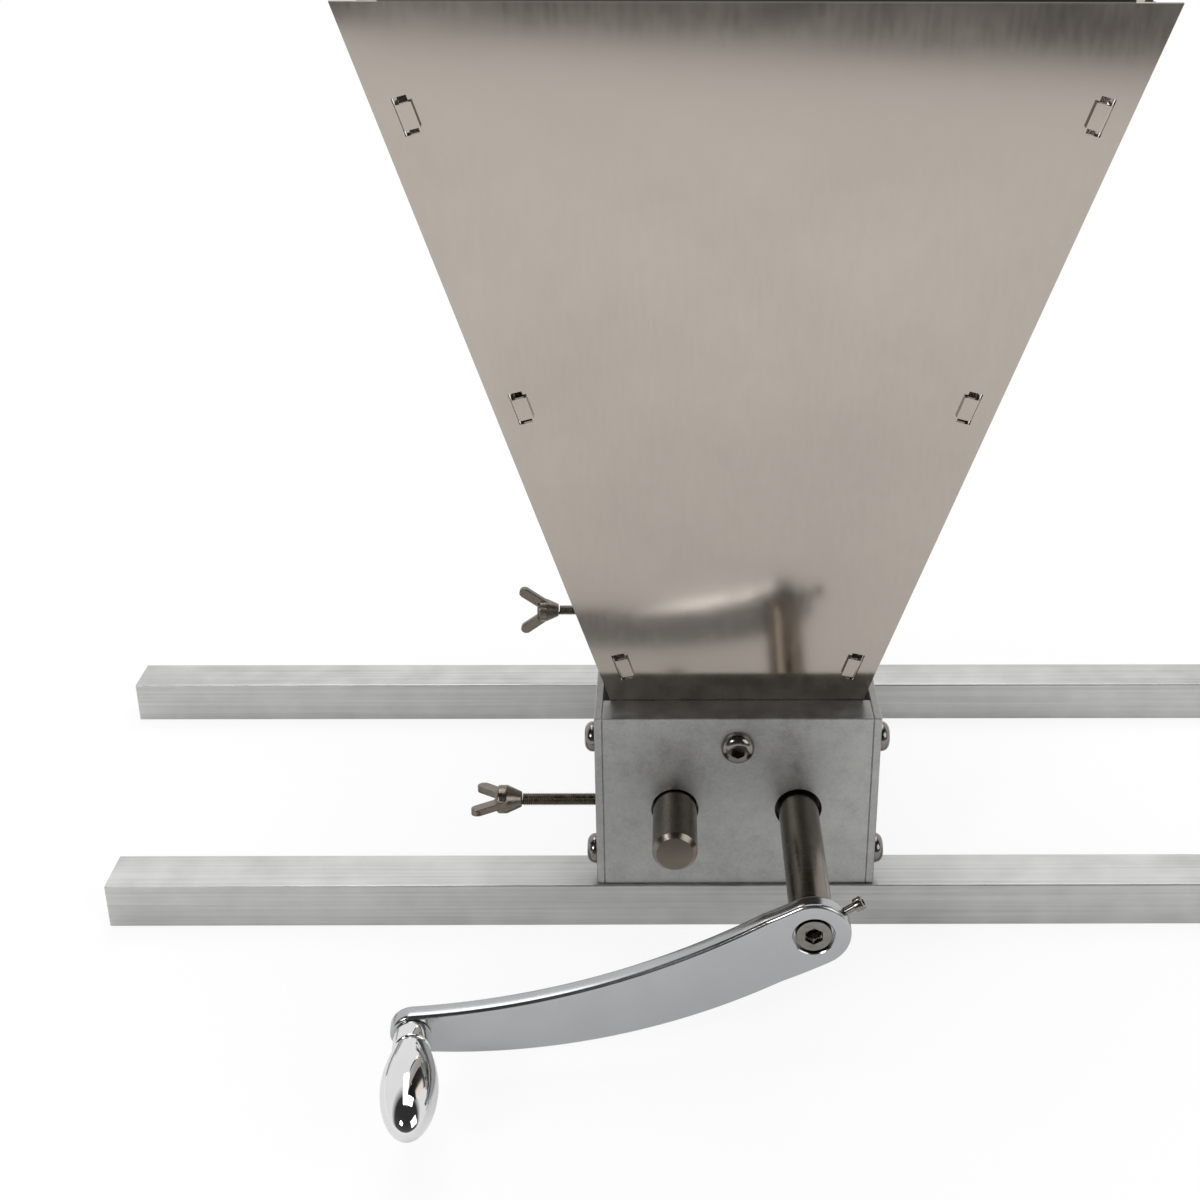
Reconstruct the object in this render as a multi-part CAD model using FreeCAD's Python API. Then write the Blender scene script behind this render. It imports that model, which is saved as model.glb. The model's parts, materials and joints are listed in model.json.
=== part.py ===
import FreeCAD, Part
import math
import os

os.makedirs("parts", exist_ok=True)
V = FreeCAD.Vector

# Hand-cranked two-roller grain mill with a sheet-metal hopper, on two square rails.
# X runs to the right, Y away from the user, Z up. All sizes are in millimetres.
# The origin is on the underside of the front rail, at the middle of the body's width.

# Fits and small gaps
run_clear = 0.05
seat_clear = 0.02
sheet_clear = 0.3
end_clear = 0.3
pierce = 1.0

# Rails: square tube, both alike, the back one turned round
rail_size = 16.0
rail_wall = 1.6
rail_length = 440.0
rail_shift = 15.0
rail_proud = 1.2
rail_edge = 0.6
rail_screw_spread = 40.0
rail_screw_r = 2.5
rail_screw_head_r = 4.5
rail_screw_head_h = 2.0
rail_screw_bite = 14.0
rail_socket_af = 4.0
rail_access_r = 5.2

# Body plates
plate_w = 85.0
plate_t = 11.0
plate_h = 62.4
body_length = 137.0
side_t = 2.5
plate_edge = 0.25

# Screws that hold the side plates to the thick plates
side_screw_r = 2.5
side_screw_head_r = 4.75
side_screw_head_h = 3.2
side_screw_len = 16.0
side_screw_margin = 9.8
side_socket_af = 3.0

# Rollers and their shafts
roller_d = 38.1
roller_gap = 1.3
roller_flutes = 48
flute_depth = 0.7
roller_end_gap = 1.3
shaft_r = 6.35
shaft_height = 28.9
shaft_back_recess = 1.5
shaft_chamfer = 0.6

# Flanged sleeve bearings of the driven roller
bush_r = 7.5
bush_recess = 3.0
bush_flange_r = 9.6
bush_flange_t = 0.8

# Eccentric adjusters of the free roller
adjust_sleeve_r = 7.5
adjust_knob_r = 7.0
adjust_recess = 2.5
adjust_reach = 22.7
adjust_chamfer = 1.3
eccentricity = 0.8
journal_r = 5.0
journal_len = 7.0

# Wing screws that lock the adjusters
wing_screw_r = 2.0
front_wing_reach = 24.0
back_wing_reach = 21.0
wing_hub_r = 4.5
wing_hub_tip_r = 3.6
wing_hub_foot_r = 2.4
wing_hub_len = 8.3
wing_hub_crown = 1.0
wing_hub_band = 2.6
wing_lobe_r = 2.1
wing_half_span = 10.4
wing_beyond_hub = 7.0
wing_t = 2.2
front_wing_angle = 80.0
back_wing_angle = 4.0

# Hopper sheets
sheet_t = 1.0
hopper_rise = 221.0
hopper_side_gap = 8.3
hopper_half_top = 97.4
hopper_front_lean = 40.7
hopper_overhang = 6.0
hopper_flange = 8.0
hopper_skirt = 11.4
hem_depth = 7.0
hem_corner_gap = 1.0
tab_w = 7.0
tab_leaf = 4.6
tab_low = 13.2
tab_below_rim = 29.8
tab_mid_rise = 4.5
window_side_gap = 0.2
window_end_gap = 1.7
window_lap = 0.8

# Screw and nut that hold each hopper flange to its plate
hopper_screw_r = 3.0
hopper_screw_head_r = 5.25
hopper_screw_head_h = 3.3
hopper_screw_drop = 10.1
hopper_socket_af = 4.0
hopper_tongue_half = 7.0
nut_af = 10.0
nut_t = 5.0
screw_past_nut = 1.0

# Crank: a bowed flat arm that leans out from the body beyond its hub
crank_reach = 60.0
crank_angle = 191.5
crank_radius = 115.4
crank_lean_angle = 7.0
crank_bend_at = 12.0
crank_bend_r = 40.0
arm_t = 5.0
arm_hub_r = 10.8
arm_end_r = 6.2
arm_inner_bow = 212.0
arm_outer_bow = 180.0
arm_edge = 0.8
hub_counterbore_r = 6.0
hub_counterbore_depth = 2.2
spigot_r = 4.5
crank_bolt_r = 3.0
crank_bolt_head_r = 5.2
crank_bolt_head_h = 2.0
crank_bolt_len = 16.0
crank_socket_af = 5.0
set_screw_angle = 33.6
set_screw_r = 1.2
set_screw_head_r = 2.0
set_screw_head_h = 2.6
set_screw_proud = 5.9

# Revolving grip
spindle_r = 3.0
rivet_r = 4.6
rivet_h = 1.6
grip_length = 37.0
grip_collar_r = 5.3
grip_collar_len = 6.0
grip_groove_r = 4.4
grip_groove_w = 0.7
grip_neck_r = 5.3
grip_bulb_r = 7.8
grip_bulb_at = 20.5
grip_swell = 0.35
grip_tip_wall = 6.0

# Places that follow from the sizes
axis_gap = roller_d + roller_gap
x_drive = axis_gap / 2
x_idler = -axis_gap / 2
y_front = rail_proud - rail_size / 2
y_back = y_front + body_length
y_mid = (y_front + y_back) / 2
y_inner = y_front + plate_t
y_plate = y_front + plate_t / 2
z_body = rail_size
z_top = z_body + plate_h
z_axis = z_body + shaft_height
z_hopper_screw = z_top - hopper_screw_drop
x_side = plate_w / 2
x_face = x_side + side_t
roller_y0 = y_inner + roller_end_gap
roller_y1 = 2 * y_mid - roller_y0
roller_len = roller_y1 - roller_y0
hopper_half_foot = x_side - hopper_side_gap
front_lean = math.atan2(hopper_front_lean, hopper_rise)
side_lean = math.atan2(hopper_half_top - hopper_half_foot, hopper_rise)
y_arm_front = y_front - crank_reach
y_arm_back = y_arm_front + arm_t
crank_lean = math.radians(crank_lean_angle)
arm_lean_out = (crank_radius - crank_bend_at) * math.tan(crank_lean)


def box(x0, x1, y0, y1, z0, z1):
    return Part.makeBox(x1 - x0, y1 - y0, z1 - z0, V(x0, y0, z0))


def rod_x(r, x0, x1, y, z):
    return Part.makeCylinder(r, x1 - x0, V(x0, y, z), V(1, 0, 0))


def rod_y(r, y0, y1, x, z):
    return Part.makeCylinder(r, y1 - y0, V(x, y0, z), V(0, 1, 0))


def rod_z(r, z0, z1, x, y):
    return Part.makeCylinder(r, z1 - z0, V(x, y, z0), V(0, 0, 1))


def fused(shapes):
    return shapes[0].multiFuse(shapes[1:]).removeSplitter()


def less(shape, tools):
    return shape.cut(tools)


def prism(points, along):
    wire = Part.makePolygon(points + [points[0]])
    return Part.Face(wire).extrude(along)


def turned(edges):
    # A closed outline of (radius, along) in the XY plane, revolved round the Y axis
    return Part.Face(Part.Wire(edges)).revolve(V(0, 0, 0), V(0, 1, 0), 360)


def line(a, b):
    return Part.makeLine(V(a[0], a[1], 0), V(b[0], b[1], 0))


def arc(a, b, c):
    return Part.Arc(V(a[0], a[1], 0), V(b[0], b[1], 0), V(c[0], c[1], 0)).toShape()


def curve(points, start, finish):
    # A smooth profile through (radius, along) points, with its end directions
    spline = Part.BSplineCurve()
    spline.interpolate(
        Points=[V(p[0], p[1], 0) for p in points],
        InitialTangent=V(start[0], start[1], 0),
        FinalTangent=V(finish[0], finish[1], 0))
    return spline.toShape()


def outline(points):
    count = len(points)
    return [line(points[i], points[(i + 1) % count]) for i in range(count)]


def hexagon(af, y0, y1):
    reach = af / math.sqrt(3)
    corners = []
    for i in range(6):
        a = math.radians(60 * i)
        corners.append(V(reach * math.cos(a), y0, reach * math.sin(a)))
    return prism(corners, V(0, y1 - y0, 0))


def moved(shape, to, axis=None, angle=0.0):
    copy = shape.copy()
    if axis is not None:
        copy.rotate(V(0, 0, 0), axis, angle)
    copy.translate(to)
    return copy


def mirrored_y(shape):
    return shape.mirror(V(0, y_mid, 0), V(0, 1, 0))


def mirrored_x(shape):
    return shape.mirror(V(0, 0, 0), V(1, 0, 0))


def frame_of(origin, along, through, up):
    m = FreeCAD.Matrix(
        along.x, through.x, up.x, origin.x,
        along.y, through.y, up.y, origin.y,
        along.z, through.z, up.z, origin.z,
        0, 0, 0, 1)
    return FreeCAD.Placement(m)


def button_screw(shank_r, head_r, head_h, length, socket_af):
    # The shank points along +Y and the domed head sits on the XZ plane
    rim = head_h * 0.2
    crown_r = head_r * 0.45
    mid = (head_r * 0.83, -head_h * 0.72)
    tip = shank_r * 0.25
    edges = [
        line((0, -head_h), (crown_r, -head_h)),
        arc((crown_r, -head_h), mid, (head_r, -rim)),
        line((head_r, -rim), (head_r, 0)),
        line((head_r, 0), (shank_r, 0)),
        line((shank_r, 0), (shank_r, length - tip)),
        line((shank_r, length - tip), (shank_r - tip, length)),
        line((shank_r - tip, length), (0, length)),
        line((0, length), (0, -head_h)),
    ]
    socket = hexagon(socket_af, -head_h - pierce, -head_h * 0.3)
    return less(turned(edges), [socket])


def cap_screw(shank_r, head_r, head_h, length, socket_af):
    # The same with a low cylindrical head
    tip = shank_r * 0.25
    rim = head_h * 0.2
    points = [(0, -head_h), (head_r - rim, -head_h), (head_r, rim - head_h), (head_r, 0), (shank_r, 0)]
    points += [(shank_r, length - tip), (shank_r - tip, length), (0, length)]
    socket = hexagon(socket_af, -head_h - pierce, -head_h * 0.1)
    return less(turned(outline(points)), [socket])


def rail():
    # Tube under the front plate, longer to the right by twice the shift
    x0 = rail_shift - rail_length / 2
    x1 = rail_shift + rail_length / 2
    half = rail_size / 2
    inner = half - rail_wall
    outer = box(x0, x1, -half, half, 0, rail_size)
    long_edges = [e for e in outer.Edges if abs(e.Length - rail_length) < 1e-6]
    outer = outer.makeFillet(rail_edge, long_edges)
    bore = box(x0 - pierce, x1 + pierce, -inner, inner, rail_wall, rail_size - rail_wall)
    holes = [bore]
    for x in (-rail_screw_spread / 2, rail_screw_spread / 2):
        z0 = rail_size - rail_wall - pierce
        holes.append(rod_z(rail_screw_r + seat_clear, z0, rail_size + pierce, x, y_plate))
        holes.append(rod_z(rail_access_r, -pierce, rail_wall + pierce, x, y_plate))
    return less(outer, holes)


def turned_round(shape):
    copy = shape.copy()
    copy.rotate(V(0, y_mid, 0), V(0, 0, 1), 180)
    return copy


def rail_screw(x):
    length = rail_wall + rail_screw_bite
    screw = cap_screw(rail_screw_r, rail_screw_head_r, rail_screw_head_h, length, rail_socket_af)
    return moved(screw, V(x, y_plate, rail_size - rail_wall), V(1, 0, 0), 90)


def side_screw_heights():
    return (z_body + side_screw_margin, z_top - side_screw_margin)


def thick_plate():
    # Front plate: bearing hole, adjuster hole, hopper screw hole and tapped edges
    plate = box(-x_side, x_side, y_front, y_inner, z_body, z_top)
    plate = plate.makeChamfer(plate_edge, plate.Edges)
    y0 = y_front - pierce
    y1 = y_inner + pierce
    holes = [
        rod_y(bush_r + seat_clear, y0, y1, x_drive, z_axis),
        rod_y(adjust_sleeve_r + run_clear, y0, y1, x_idler, z_axis),
        rod_y(hopper_screw_r + seat_clear, y0, y1, 0, z_hopper_screw),
        rod_x(wing_screw_r + run_clear, -x_side - pierce, x_idler, y_plate, z_axis),
    ]
    depth = side_screw_len - side_t + pierce
    for z in side_screw_heights():
        holes.append(rod_x(side_screw_r + seat_clear, -x_side - pierce, -x_side + depth, y_plate, z))
        holes.append(rod_x(side_screw_r + seat_clear, x_side - depth, x_side + pierce, y_plate, z))
    for x in (-rail_screw_spread / 2, rail_screw_spread / 2):
        z1 = z_body + rail_screw_bite + pierce
        holes.append(rod_z(rail_screw_r + seat_clear, z_body - pierce, z1, x, y_plate))
    return less(plate, holes)


def side_plate(left):
    # Thin plate over the ends of both thick plates
    x0 = -x_face if left else x_side
    plate = box(x0, x0 + side_t, y_front, y_back, z_body, z_top)
    plate = plate.makeChamfer(plate_edge, plate.Edges)
    x1 = x0 + side_t + pierce
    holes = []
    for y in (y_plate, 2 * y_mid - y_plate):
        for z in side_screw_heights():
            holes.append(rod_x(side_screw_r + seat_clear, x0 - pierce, x1, y, z))
        if left:
            holes.append(rod_x(wing_screw_r + run_clear, x0 - pierce, x1, y, z_axis))
    return less(plate, holes)


def side_screw(left, back, z):
    screw = button_screw(side_screw_r, side_screw_head_r, side_screw_head_h, side_screw_len, side_socket_af)
    y = 2 * y_mid - y_plate if back else y_plate
    x = -x_face if left else x_face
    return moved(screw, V(x, y, z), V(0, 0, 1), -90 if left else 90)


def hopper_half(z):
    # Outer half width of the side sheets at a height above the body
    return hopper_half_foot + (z - z_top) * math.tan(side_lean)


def hopper_screw():
    length = plate_t + sheet_t + nut_t + screw_past_nut
    screw = button_screw(hopper_screw_r, hopper_screw_head_r, hopper_screw_head_h, length, hopper_socket_af)
    return moved(screw, V(0, y_front, z_hopper_screw))


def hopper_nut():
    nut = hexagon(nut_af, 0, nut_t)
    bore = rod_y(hopper_screw_r + seat_clear, -pierce, nut_t + pierce, 0, 0)
    return moved(less(nut, [bore]), V(0, y_inner + sheet_t, z_hopper_screw))


def corner_frame():
    # Front left corner: across the front sheet, through it, and up the corner line
    up = V(-math.tan(side_lean), -math.tan(front_lean), 1).normalize()
    through = V(0, math.cos(front_lean), math.sin(front_lean))
    across = through.cross(up)
    return frame_of(V(-hopper_half_foot, y_inner, z_top), across, through, up), up.z


def tab_places():
    low = tab_low
    high = hopper_rise - tab_below_rim
    return (low, (low + high) / 2 + tab_mid_rise, high)


def corner_tabs():
    # Tabs of the side sheet, pushed through the front sheet and bent flat over it
    place, rise = corner_frame()
    tabs = []
    for height in tab_places():
        s = height / rise - tab_w / 2
        root = 2 * sheet_t + sheet_clear
        a = V(0, root, s)
        b = V(0, 0, s)
        bend = V(sheet_t * 0.3, -sheet_t * 0.7, s)
        c = V(sheet_t, -sheet_t, s)
        d = V(tab_leaf, -sheet_t, s)
        e = V(tab_leaf, 0, s)
        f = V(sheet_t, 0, s)
        g = V(sheet_t, root, s)
        edges = [Part.makeLine(a, b), Part.Arc(b, bend, c).toShape(), Part.makeLine(c, d)]
        edges += [Part.makeLine(d, e), Part.makeLine(e, f), Part.makeLine(f, g), Part.makeLine(g, a)]
        tab = Part.Face(Part.Wire(edges)).extrude(V(0, 0, tab_w))
        tab.Placement = place
        tabs.append(tab)
    return tabs


def corner_windows():
    # Openings that the tabs come through, taller than the tabs
    place, rise = corner_frame()
    windows = []
    for height in tab_places():
        s = height / rise
        half = tab_w / 2 + window_end_gap
        window = box(-window_side_gap, tab_leaf - window_lap, -sheet_t, 2 * sheet_t, s - half, s + half)
        window.Placement = place
        windows.append(window)
    return windows


def hem(half, v_top):
    # Folded edge on the inside of a sheet, in the sheet's own frame
    leg = box(-half, half, 0, 2 * sheet_t, v_top - hem_depth, v_top - sheet_t)
    fold = rod_x(sheet_t, -half, half, sheet_t, v_top - sheet_t)
    return [leg, fold]


def end_sheet():
    # Front sheet: flange down the inside of the plate, then leaning out to the rim
    sin = math.sin(front_lean)
    cos = math.cos(front_lean)
    v_top = hopper_rise / cos
    v_cut = v_top - sheet_t
    z_low = z_top - hopper_flange
    bend_z = z_top + sheet_t * sin - sheet_t * math.tan(front_lean / 2) * cos
    y_cut = y_inner - v_cut * sin
    z_cut = z_top + v_cut * cos
    section = [
        V(0, y_inner, z_low),
        V(0, y_inner, z_top),
        V(0, y_cut, z_cut),
        V(0, y_cut + sheet_t * cos, z_cut + sheet_t * sin),
        V(0, y_inner + sheet_t, bend_z),
        V(0, y_inner + sheet_t, z_low),
    ]
    wide = hopper_half_top + 2 * hopper_overhang
    sheet = prism([p - V(wide, 0, 0) for p in section], V(2 * wide, 0, 0))
    foot = hopper_half(z_top) + hopper_overhang
    z_high = z_cut + 2 * sheet_t
    head = hopper_half(z_high) + hopper_overhang
    shape = [
        V(-foot, 0, z_low - pierce), V(foot, 0, z_low - pierce), V(foot, 0, z_top),
        V(head, 0, z_high), V(-head, 0, z_high), V(-foot, 0, z_top),
    ]
    y0 = y_cut - pierce
    trim = prism([p + V(0, y0, 0) for p in shape], V(0, y_inner + 2 * sheet_t - y0, 0))
    sheet = sheet.common(trim)
    z_tongue = z_hopper_screw - hopper_tongue_half
    y1 = y_inner + sheet_t
    tongue = box(-hopper_tongue_half, hopper_tongue_half, y_inner, y1, z_tongue, z_low + pierce)
    place = frame_of(V(0, y_inner, z_top), V(1, 0, 0), V(0, cos, sin), V(0, -sin, cos))
    z_hem = z_top + (v_top - hem_depth) * cos
    hem_half = hopper_half(z_hem) - 3 * sheet_t - hem_corner_gap
    pieces = [sheet, tongue]
    for piece in hem(hem_half, v_top):
        piece.Placement = place.multiply(piece.Placement)
        pieces.append(piece)
    sheet = fused(pieces)
    holes = corner_windows()
    holes += [mirrored_x(w) for w in corner_windows()]
    holes.append(rod_y(hopper_screw_r + seat_clear, y_inner - pierce, y1 + pierce, 0, z_hopper_screw))
    return less(sheet, holes)


def side_sheet():
    # Left sheet: between the end sheets, with a skirt reaching down over the rollers
    sin = math.sin(side_lean)
    cos = math.cos(side_lean)
    v_top = hopper_rise / cos
    v_cut = v_top - sheet_t
    v_low = -hopper_skirt / cos
    slope = cos * math.tan(front_lean)
    at_foot = y_mid - y_inner - sheet_t / math.cos(front_lean) - sheet_clear
    at_cut = at_foot + v_cut * slope
    points = [
        V(-at_foot, 0, v_low), V(at_foot, 0, v_low), V(at_foot, 0, 0),
        V(at_cut, 0, v_cut), V(-at_cut, 0, v_cut), V(-at_foot, 0, 0),
    ]
    sheet = prism(points, V(0, sheet_t, 0))
    hem_half = at_foot + (v_top - hem_depth) * slope - 2 * sheet_t - hem_corner_gap
    place = frame_of(V(-hopper_half_foot, y_mid, z_top), V(0, -1, 0), V(cos, 0, sin), V(-sin, 0, cos))
    pieces = []
    for piece in [sheet] + hem(hem_half, v_top):
        piece.Placement = place.multiply(piece.Placement)
        pieces.append(piece)
    tabs = corner_tabs()
    pieces += tabs
    pieces += [mirrored_y(t) for t in tabs]
    return fused(pieces)


def bush():
    y0 = y_front + bush_recess
    shell = rod_y(bush_r, y0, y_inner, x_drive, z_axis)
    flange = rod_y(bush_flange_r, y_inner, y_inner + bush_flange_t, x_drive, z_axis)
    y1 = y_inner + bush_flange_t + pierce
    bore = rod_y(shaft_r + run_clear, y0 - pierce, y1, x_drive, z_axis)
    return less(fused([shell, flange]), [bore])


def roller(x, z):
    # Straight-fluted drum with a bore for its shaft
    r = roller_d / 2
    step = 2 * math.pi / roller_flutes
    land = 0.3 * step
    points = []
    for i in range(roller_flutes):
        a = i * step
        for turn, reach in ((-land, r), (land, r), (step / 2, r - flute_depth)):
            points.append(V(reach * math.cos(a + turn), roller_y0, reach * math.sin(a + turn)))
    drum = prism(points, V(0, roller_len, 0))
    bore = rod_y(shaft_r + seat_clear, roller_y0 - pierce, roller_y1 + pierce, 0, 0)
    return moved(less(drum, [bore]), V(x, 0, z))


def drive_shaft():
    y_end = y_back - shaft_back_recess
    y_spigot = y_arm_front + hub_counterbore_depth + run_clear
    chamfer = shaft_chamfer
    points = [
        (0, y_spigot), (spigot_r, y_spigot), (spigot_r, y_arm_back), (shaft_r, y_arm_back),
        (shaft_r, y_end - chamfer), (shaft_r - chamfer, y_end), (0, y_end),
    ]
    shaft = turned(outline(points))
    y_tapped = y_spigot + crank_bolt_len + pierce
    tapped = rod_y(crank_bolt_r + seat_clear, y_spigot - pierce, y_tapped, 0, 0)
    return moved(less(shaft, [tapped]), V(x_drive, 0, z_axis))


def adjuster():
    # Turned pin with an eccentric bore for the free roller's journal
    y0 = y_front - adjust_reach
    y_step = y_front + adjust_recess
    points = [
        (0, y0), (adjust_knob_r - adjust_chamfer, y0), (adjust_knob_r, y0 + adjust_chamfer),
        (adjust_knob_r, y_step), (adjust_sleeve_r, y_step), (adjust_sleeve_r, y_inner), (0, y_inner),
    ]
    pin = turned(outline(points))
    y_bore = y_inner - journal_len - end_clear
    bore = rod_y(journal_r + run_clear, y_bore, y_inner + pierce, 0, eccentricity)
    return moved(less(pin, [bore]), V(x_idler, 0, z_axis))


def idler_shaft():
    y0 = y_inner - journal_len
    y1 = 2 * y_mid - y0
    points = [
        (0, y0), (journal_r, y0), (journal_r, roller_y0), (shaft_r, roller_y0),
        (shaft_r, roller_y1), (journal_r, roller_y1), (journal_r, y1), (0, y1),
    ]
    return moved(turned(outline(points)), V(x_idler, 0, z_axis + eccentricity))


def wing_screw(reach, turn):
    # The shank points along +Y from the side plate's face, the wings lie outside
    tip = x_face + x_idler - adjust_sleeve_r - end_clear
    y_hub = -reach
    y_cap = y_hub - wing_hub_len
    y_band = y_cap + wing_hub_crown
    y_cone = y_band + wing_hub_band
    points = [
        (0, y_cap), (wing_hub_tip_r, y_cap), (wing_hub_r, y_band), (wing_hub_r, y_cone),
        (wing_hub_foot_r, y_hub), (wing_screw_r, y_hub), (wing_screw_r, tip), (0, tip),
    ]
    pieces = [turned(outline(points))]
    root_z = wing_hub_tip_r - wing_lobe_r / 3
    root_y = (y_band + y_cone) / 2
    end_z = wing_half_span - wing_lobe_r
    end_y = y_cap - wing_beyond_hub + wing_lobe_r
    length = math.hypot(end_z - root_z, end_y - root_y)
    angle = math.degrees(math.atan2(end_z - root_z, root_y - end_y))
    half = wing_t / 2
    for side in (1, -1):
        lobe = box(-half, half, -length, 0, -wing_lobe_r, wing_lobe_r)
        lobe = lobe.fuse(rod_x(wing_lobe_r, -half, half, 0, 0))
        lobe = lobe.fuse(rod_x(wing_lobe_r, -half, half, -length, 0))
        lobe.rotate(V(0, 0, 0), V(1, 0, 0), -side * angle)
        lobe.translate(V(0, root_y, side * root_z))
        pieces.append(lobe)
    screw = fused(pieces)
    screw.rotate(V(0, 0, 0), V(0, 1, 0), turn)
    screw.rotate(V(0, 0, 0), V(0, 0, 1), -90)
    return screw


def bow_centre(to_hub, to_end):
    # Centre of an edge arc, from its distances to the hub's and the grip's axes
    x = (to_hub ** 2 - to_end ** 2 + crank_radius ** 2) / (2 * crank_radius)
    return V(x, 0, -math.sqrt(to_hub ** 2 - x ** 2))


def toward(start, goal, distance):
    return start + (goal - start).normalize() * distance


def crank_place():
    turn = FreeCAD.Rotation(V(0, 1, 0), -crank_angle)
    return FreeCAD.Placement(V(x_drive, y_arm_front, z_axis), turn)


def grip_place():
    # Where the grip's axis meets the leaning arm's front face, square to that face
    lean = FreeCAD.Rotation(V(0, 0, 1), -crank_lean_angle)
    return crank_place().multiply(FreeCAD.Placement(V(crank_radius, -arm_lean_out, 0), lean))


def arm_outline():
    # Hub, lower edge, grip end and upper edge as tangent arcs, seen along the shaft
    hub_at = V(0, 0, 0)
    end_at = V(crank_radius, 0, 0)
    top_at = bow_centre(arm_inner_bow + arm_hub_r, arm_inner_bow + arm_end_r)
    low_at = bow_centre(arm_outer_bow - arm_hub_r, arm_outer_bow - arm_end_r)
    top0 = toward(hub_at, top_at, arm_hub_r)
    top1 = toward(end_at, top_at, arm_end_r)
    low0 = toward(hub_at, low_at, -arm_hub_r)
    low1 = toward(end_at, low_at, -arm_end_r)
    top_mid = toward(top_at, (top0 + top1) * 0.5, arm_inner_bow)
    low_mid = toward(low_at, (low0 + low1) * 0.5, arm_outer_bow)
    hub = Part.Arc(top0, V(-arm_hub_r, 0, 0), low0).toShape()
    low = Part.Arc(low0, low_mid, low1).toShape()
    end = Part.Arc(low1, V(crank_radius + arm_end_r, 0, 0), top1).toShape()
    top = Part.Arc(top1, top_mid, top0).toShape()
    return Part.Face(Part.Wire([hub, low, end, top]))


def bent_strip():
    # The arm's thickness seen along its edge: flat at the hub, then leaning forward
    start = crank_bend_at - crank_bend_r * math.tan(crank_lean / 2)
    centre = V(start, -crank_bend_r, 0)
    far = V(math.cos(crank_lean), -math.sin(crank_lean), 0) * (crank_radius + arm_end_r)

    def on_bend(r, turn):
        return centre + V(r * math.sin(turn), r * math.cos(turn), 0)

    near = -2 * arm_hub_r
    inner = [on_bend(crank_bend_r, crank_lean * k / 2) for k in range(3)]
    outer = [on_bend(crank_bend_r + arm_t, crank_lean * k / 2) for k in range(3)]
    edges = [
        Part.makeLine(V(near, 0, 0), inner[0]),
        Part.Arc(*inner).toShape(),
        Part.makeLine(inner[2], inner[2] + far),
        Part.makeLine(inner[2] + far, outer[2] + far),
        Part.makeLine(outer[2] + far, outer[2]),
        Part.Arc(*reversed(outer)).toShape(),
        Part.makeLine(outer[0], V(near, arm_t, 0)),
        Part.makeLine(V(near, arm_t, 0), V(near, 0, 0)),
    ]
    strip = Part.Face(Part.Wire(edges))
    strip.translate(V(0, 0, -crank_radius))
    return strip.extrude(V(0, 0, 2 * crank_radius))


def eased(length_of_arm):
    # One length of the arm with its rims chamfered and its cut end left plain
    rims = []
    for edge in length_of_arm.Edges:
        size = edge.BoundBox
        across_arm = size.XLength < arm_edge and size.YLength < arm_edge
        through_arm = size.XLength < arm_edge and size.ZLength < arm_edge
        if not across_arm and not through_arm:
            rims.append(edge)
    return length_of_arm.makeChamfer(arm_edge, rims)


def crank_arm():
    # Bowed flat arm, built along X from its hub and then turned to its rest angle
    front = -2 * arm_lean_out
    plan = arm_outline()
    plan.translate(V(0, front, 0))
    arm = plan.extrude(V(0, arm_t + pierce - front, 0)).common(bent_strip())
    span = 2 * crank_radius
    hub_half = Part.makeBox(span, 2 * span, 2 * span, V(crank_radius / 2 - span, -span, -span))
    arm = fused([eased(arm.common(hub_half)), eased(arm.cut(hub_half))])
    arm.Placement = crank_place()
    y1 = y_arm_back + pierce
    y_floor = y_arm_front + hub_counterbore_depth
    spindle = rod_y(spindle_r + seat_clear, -arm_t, 2 * arm_t, 0, 0)
    spindle.Placement = grip_place().multiply(spindle.Placement)
    holes = [
        rod_y(spigot_r + seat_clear, y_arm_front - pierce, y1, x_drive, z_axis),
        rod_y(hub_counterbore_r, y_arm_front - pierce, y_floor, x_drive, z_axis),
        spindle,
        set_screw_axis(set_screw_r + seat_clear, 0, 2 * arm_hub_r),
    ]
    return less(arm, holes)


def set_screw_axis(r, from_axis, to_axis):
    # A cylinder square to the shaft, in the solid half of the hub
    y = (y_arm_front + hub_counterbore_depth + y_arm_back) / 2
    a = math.radians(set_screw_angle)
    out = V(math.cos(a), 0, math.sin(a))
    start = V(x_drive, y, z_axis) + out * from_axis
    return Part.makeCylinder(r, to_axis - from_axis, start, out)


def crank_set_screw():
    end = arm_hub_r + set_screw_proud
    shank = set_screw_axis(set_screw_r, spigot_r + run_clear, end)
    head = set_screw_axis(set_screw_head_r, end - set_screw_head_h, end)
    return fused([shank, head])


def crank_bolt():
    bolt = cap_screw(crank_bolt_r, crank_bolt_head_r, crank_bolt_head_h, crank_bolt_len, crank_socket_af)
    return moved(bolt, V(x_drive, y_arm_front + hub_counterbore_depth, z_axis))


def grip_spindle():
    y_end = grip_tip_wall + end_clear - grip_length
    points = [
        (0, y_end), (spindle_r, y_end), (spindle_r, arm_t), (rivet_r, arm_t),
        (rivet_r * 0.75, arm_t + rivet_h), (0, arm_t + rivet_h),
    ]
    spindle = turned(outline(points))
    spindle.Placement = grip_place()
    return spindle


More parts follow.
